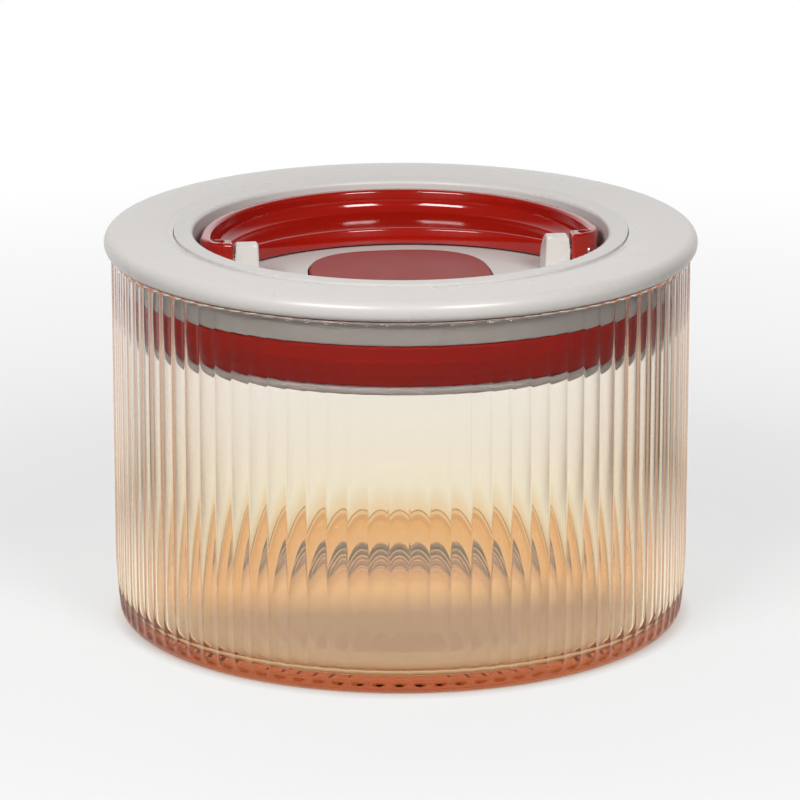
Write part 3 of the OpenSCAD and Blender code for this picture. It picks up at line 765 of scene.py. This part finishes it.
class JAR_OT_button(bpy.types.Operator):
    """Builds the vent button with its stem"""

    bl_idname = "jar.button"
    bl_label = "Vent button"

    def execute(self, context):
        s = context.scene.jar_lid
        textured = moulded_plastic("abs_red_textured", s.button_red, 0.5, grain_mm=0.4, grain=0.5)
        low, high = s.floor_height - 1 * MM, BUTTON_HIGH[2]
        half, edge = s.button_half, 0.6 * MM
        outline = []
        for i in range(144):
            angle = math.tau * i / 144
            c, n = abs(math.cos(angle)), abs(math.sin(angle))
            reach = (c**s.button_power + n**s.button_power) ** (-1 / s.button_power)
            outline.append(Vector((reach * math.cos(angle), reach * math.sin(angle))))
        levels = [(half * k, high - 0.12 * MM * k * k) for k in (0.15, 0.35, 0.55, 0.75, 0.9)]
        levels += arc(half - edge, high - 0.12 * MM - edge, edge, 90, 0, 6)
        levels += [(half, low + 0.3 * MM), (half - 0.3 * MM, low), (half * 0.6, low)]
        bm = bmesh.new()
        rings = [[bm.verts.new((0, 0, high))]]
        rings += [[bm.verts.new((p.x * r, p.y * r, z)) for p in outline] for r, z in levels]
        rings.append([bm.verts.new((0, 0, low))])
        skin(bm, rings)
        boss, rod, neck, tip = 3.35 * MM, 2 * MM, 1.5 * MM, BUTTON_LOW[2]
        stem = [(0, low), (boss, low), (boss, low - 2.2 * MM), (rod, low - 2.2 * MM)]
        stem += [(rod, tip + 3.2 * MM), (neck, tip + 3.2 * MM)]
        stem += [(neck, tip + 0.9 * MM), (rod, tip + 0.9 * MM)]
        stem += [(rod, tip + 0.3 * MM), (rod - 0.3 * MM, tip), (0, tip)]
        revolve(stem, 64, closed=False, bm=bm)
        new_piece("button_moulding", bm, "button", textured, ("vent_button",), crease=40)
        return {"FINISHED"}


class JAR_OT_seals(bpy.types.Operator):
    """Builds the silicone band and gives the small seals their finish"""

    bl_idname = "jar.seals"
    bl_label = "Seals"

    def execute(self, context):
        s = context.scene.jar_lid
        rubber = silicone("silicone_red", s.seal_red)
        low, high, outer = SEAL_LOW[2], SEAL_HIGH[2], SEAL_HIGH[0]
        tall, inner = high - low, 59.9 * MM
        section = [(inner, low, 0.2 * MM), (outer - 2.2 * MM, low, 0.8 * MM)]
        section += [(outer - 0.8 * MM, low + 0.3 * tall, 3 * MM), (outer, low + 0.62 * tall, 3 * MM)]
        section += [(outer - 0.3 * MM, high, 0.8 * MM), (inner, high, 0.2 * MM)]
        outline, points = rounded(section), []
        for (r0, z0), (r1, z1) in zip(outline, outline[1:] + outline[:1]):
            parts = max(1, round(abs(z1 - z0) / (0.8 * MM)))
            points += [(r0 + (r1 - r0) * i / parts, z0 + (z1 - z0) * i / parts) for i in range(parts)]
        bm = revolve(drop_doubles(points), 288)
        seal = new_piece("seal_band", bm, None, rubber, ("seal_ring",), crease=60)
        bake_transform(seal)
        for name in ("stem_seal_left", "stem_seal_right", "vent_valve"):
            paint(name, rubber)
        return {"FINISHED"}


class JAR_OT_hardware(bpy.types.Operator):
    """Builds the spring and gives the screws and pins their finish"""

    bl_idname = "jar.hardware"
    bl_label = "Screws, pins and spring"

    def execute(self, context):
        steel = bright_steel("stainless_steel_drawn")
        for name in ("plug_screws", "clamp_screws", "hinge_pin_left", "hinge_pin_right"):
            paint(name, steel)
        turns, wire, radius, steps = 4, 0.35 * MM, 4.3 * MM, 32
        low, high = SPRING_LOW[2] + wire, SPRING_HIGH[2] - wire
        up = Vector((0, 0, 1))
        round_wire = [math.tau * k / 12 for k in range(12)]
        bm = bmesh.new()
        rings = []
        for i in range(turns * steps + 1):
            turn = math.tau * i / steps
            out = Vector((math.cos(turn), math.sin(turn), 0))
            middle = radius * out + (low + (high - low) * i / (turns * steps)) * up
            rings.append(
                [bm.verts.new(middle + wire * (math.cos(a) * out + math.sin(a) * up)) for a in round_wire]
            )
        skin(bm, rings, capped=True)
        spring = new_piece("spring_wire", bm, None, steel, ("button_spring",), crease=60)
        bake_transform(spring)
        return {"FINISHED"}


# Name, turn from the camera's side in degrees, width and height in metres, and power in watts
SOFT_BOXES = (
    ("soft_box_left", -28, 0.45, 0.32, 6.4),
    ("soft_box_right", 28, 0.32, 0.32, 5.0),
)


def direction(turn, rise):
    """Direction at a turn round the jar from its front and a rise above the horizon."""
    return Vector((math.sin(turn) * math.cos(rise), -math.cos(turn) * math.cos(rise), math.sin(rise)))


def floor_seen(s, tree, place, radius):
    """How bright the floor is in the glass: white near the jar and behind it, else dark as the room."""
    path = add_node(tree, "ShaderNodeLightPath")
    way = add_node(tree, "ShaderNodeVectorMath", {"operation": "NORMALIZE"}, links={0: place})
    behind = add_node(tree, "ShaderNodeSeparateXYZ", links={0: way.outputs[0]}).outputs["Y"]
    room = map_range(tree, behind, s.backdrop_edge, s.backdrop_full, s.room_front, 1.0, smooth=True)
    near = map_range(tree, radius, s.near_start, s.near_end, 1.0, 0.0)
    return larger(tree, larger(tree, room, near), path.outputs["Is Camera Ray"])


def floor_tone(s, tree, place, radius):
    """White floor with painted light and painted shade under the jar, as the glass sees it: amber towards the
    back and darker brown towards the front.
    """
    under_jar = map_range(tree, radius, 62 * MM, 70 * MM, 1.0, 0.0)
    spot = add_node(tree, "ShaderNodeSeparateXYZ", links={0: place})
    forward = map_range(tree, spot.outputs["Y"], 10 * MM, -12 * MM)
    # Painted light at the back, painted shade at the front
    painted_floor_light = mixed(tree, forward, rgba(s.painted_light_under_back), rgba(s.painted_shade_under_front))
    return mixed(tree, under_jar, WHITE, painted_floor_light)


def studio_floor(s):
    """White floor that keeps the jar's shadow near it and fades into the backdrop."""
    material, tree = new_material("studio_floor")
    path = add_node(tree, "ShaderNodeLightPath")
    place = add_node(tree, "ShaderNodeTexCoord").outputs["Object"]
    radius = add_node(tree, "ShaderNodeVectorMath", {"operation": "LENGTH"}, links={0: place})
    radius = radius.outputs["Value"]
    share = add_node(
        tree,
        "ShaderNodeMapRange",
        inputs={"To Max": s.floor_glow_seen_through},
        links={
            "Value": path.outputs["Is Transmission Ray"],
            "To Min": map_range(tree, radius, s.shadow_start, s.shadow_end, s.floor_glow, 1.0),
        },
    )
    shaded = add_node(tree, "ShaderNodeBsdfDiffuse", inputs={"Color": rgba(s.backdrop)})
    lit = add_node(
        tree,
        "ShaderNodeEmission",
        links={
            # The floor's glow carries the painted light and shade under the jar
            "Color": floor_tone(s, tree, place, radius),
            "Strength": floor_seen(s, tree, place, radius),
        },
    )
    shader = add_node(
        tree,
        "ShaderNodeMixShader",
        links={0: share.outputs[0], 1: shaded.outputs[0], 2: lit.outputs[0]},
    )
    finish_surface(tree, shader)
    bm = bmesh.new()
    half, below = 4.0, 0.05 * MM
    corners = ((-half, -half), (half, -half), (half, half), (-half, half))
    bm.faces.new([bm.verts.new((x, y, -below)) for x, y in corners])
    new_piece("studio_floor", bm, None, material, smooth=False)


def studio_air(scene, s):
    """Room with a lit backdrop behind the jar and a dark front; the camera itself sees plain white."""
    world = bpy.data.worlds.new("studio_air")
    scene.world = world
    world.use_nodes = True
    tree = world.node_tree
    tree.nodes.clear()
    path = add_node(tree, "ShaderNodeLightPath")
    way = add_node(tree, "ShaderNodeTexCoord")
    behind = add_node(tree, "ShaderNodeSeparateXYZ", links={0: way.outputs["Generated"]}).outputs["Y"]
    room = map_range(
        tree, behind, s.backdrop_edge, s.backdrop_full, s.room_front, s.room_back, smooth=True
    )
    dim = add_node(tree, "ShaderNodeBackground", inputs={"Color": WHITE}, links={"Strength": room})
    white = add_node(tree, "ShaderNodeBackground", inputs={"Color": WHITE, "Strength": 1.0})
    mix = add_node(
        tree,
        "ShaderNodeMixShader",
        links={0: path.outputs["Is Camera Ray"], 1: dim.outputs[0], 2: white.outputs[0]},
    )
    add_node(tree, "ShaderNodeOutputWorld", links={"Surface": mix.outputs[0]})


def soft_box(scene, s, name, turn, width, height, power):
    """Area lamp that points at the jar's upper half."""
    data = bpy.data.lights.new(name, "AREA")
    data.shape = "RECTANGLE"
    data.size, data.size_y = width, height
    data.energy = power
    lamp = bpy.data.objects.new(name, data)
    scene.collection.objects.link(lamp)
    lamp.location = s.lamp_distance * direction(s.azimuth + math.radians(turn), s.lamp_elevation)
    aim = Vector((0, 0, s.lamp_aim)) - lamp.location
    lamp.rotation_euler = aim.to_track_quat("-Z", "Y").to_euler()


def product_camera(scene, s):
    """Camera at the photograph's angle."""
    data = bpy.data.cameras.new("product_camera")
    camera = bpy.data.objects.new("product_camera", data)
    scene.collection.objects.link(camera)
    back = direction(s.azimuth, s.elevation)
    camera.location = Vector((0, 0, s.target_height)) + s.distance * back
    camera.rotation_euler = (-back).to_track_quat("-Z", "Y").to_euler()
    data.sensor_width = 36
    data.lens = s.lens
    data.shift_x, data.shift_y = s.shift_x, s.shift_y
    data.clip_start = 10 * MM
    scene.camera = camera


class JAR_OT_stage(bpy.types.Operator):
    """Sets up the floor, the lights and the camera"""

    bl_idname = "jar.stage"
    bl_label = "Studio"

    def execute(self, context):
        s = context.scene.jar_stage
        scene = context.scene
        studio_floor(s)
        studio_air(scene, s)
        for box in SOFT_BOXES:
            soft_box(scene, s, *box)
        product_camera(scene, s)
        scene.view_settings.view_transform = "Standard"
        # Light caught in the foot's corner bounces many times before it comes out again
        scene.cycles.max_bounces = 32
        scene.cycles.glossy_bounces = 24
        scene.cycles.transmission_bounces = 24
        return {"FINISHED"}


OPERATORS = (
    JAR_OT_glass,
    JAR_OT_mouldings,
    JAR_OT_handle,
    JAR_OT_button,
    JAR_OT_seals,
    JAR_OT_hardware,
    JAR_OT_stage,
)


class JAR_PT_panel(bpy.types.Panel):
    """Lists the jar's pieces"""

    bl_idname = "JAR_PT_panel"
    bl_label = "Fluted Storage Jar"
    bl_space_type = "VIEW_3D"
    bl_region_type = "UI"
    bl_category = "Jar"

    def draw(self, context):
        for operator in OPERATORS:
            self.layout.operator(operator.bl_idname)
        for group in (context.scene.jar_glass, context.scene.jar_lid, context.scene.jar_stage):
            box = self.layout.box()
            for key in group.__annotations__:
                box.prop(group, key)


CLASSES = (JarGlassSettings, JarLidSettings, JarStageSettings, *OPERATORS, JAR_PT_panel)


def register():
    for cls in CLASSES:
        bpy.utils.register_class(cls)
    bpy.types.Scene.jar_glass = bpy.props.PointerProperty(type=JarGlassSettings)
    bpy.types.Scene.jar_lid = bpy.props.PointerProperty(type=JarLidSettings)
    bpy.types.Scene.jar_stage = bpy.props.PointerProperty(type=JarStageSettings)


def unregister():
    del bpy.types.Scene.jar_glass
    del bpy.types.Scene.jar_lid
    del bpy.types.Scene.jar_stage
    for cls in reversed(CLASSES):
        bpy.utils.unregister_class(cls)


def main():
    register()
    bpy.ops.jar.glass()
    bpy.ops.jar.mouldings()
    bpy.ops.jar.handle()
    bpy.ops.jar.button()
    bpy.ops.jar.seals()
    bpy.ops.jar.hardware()
    bpy.ops.jar.stage()


if __name__ == "__main__":
    main()
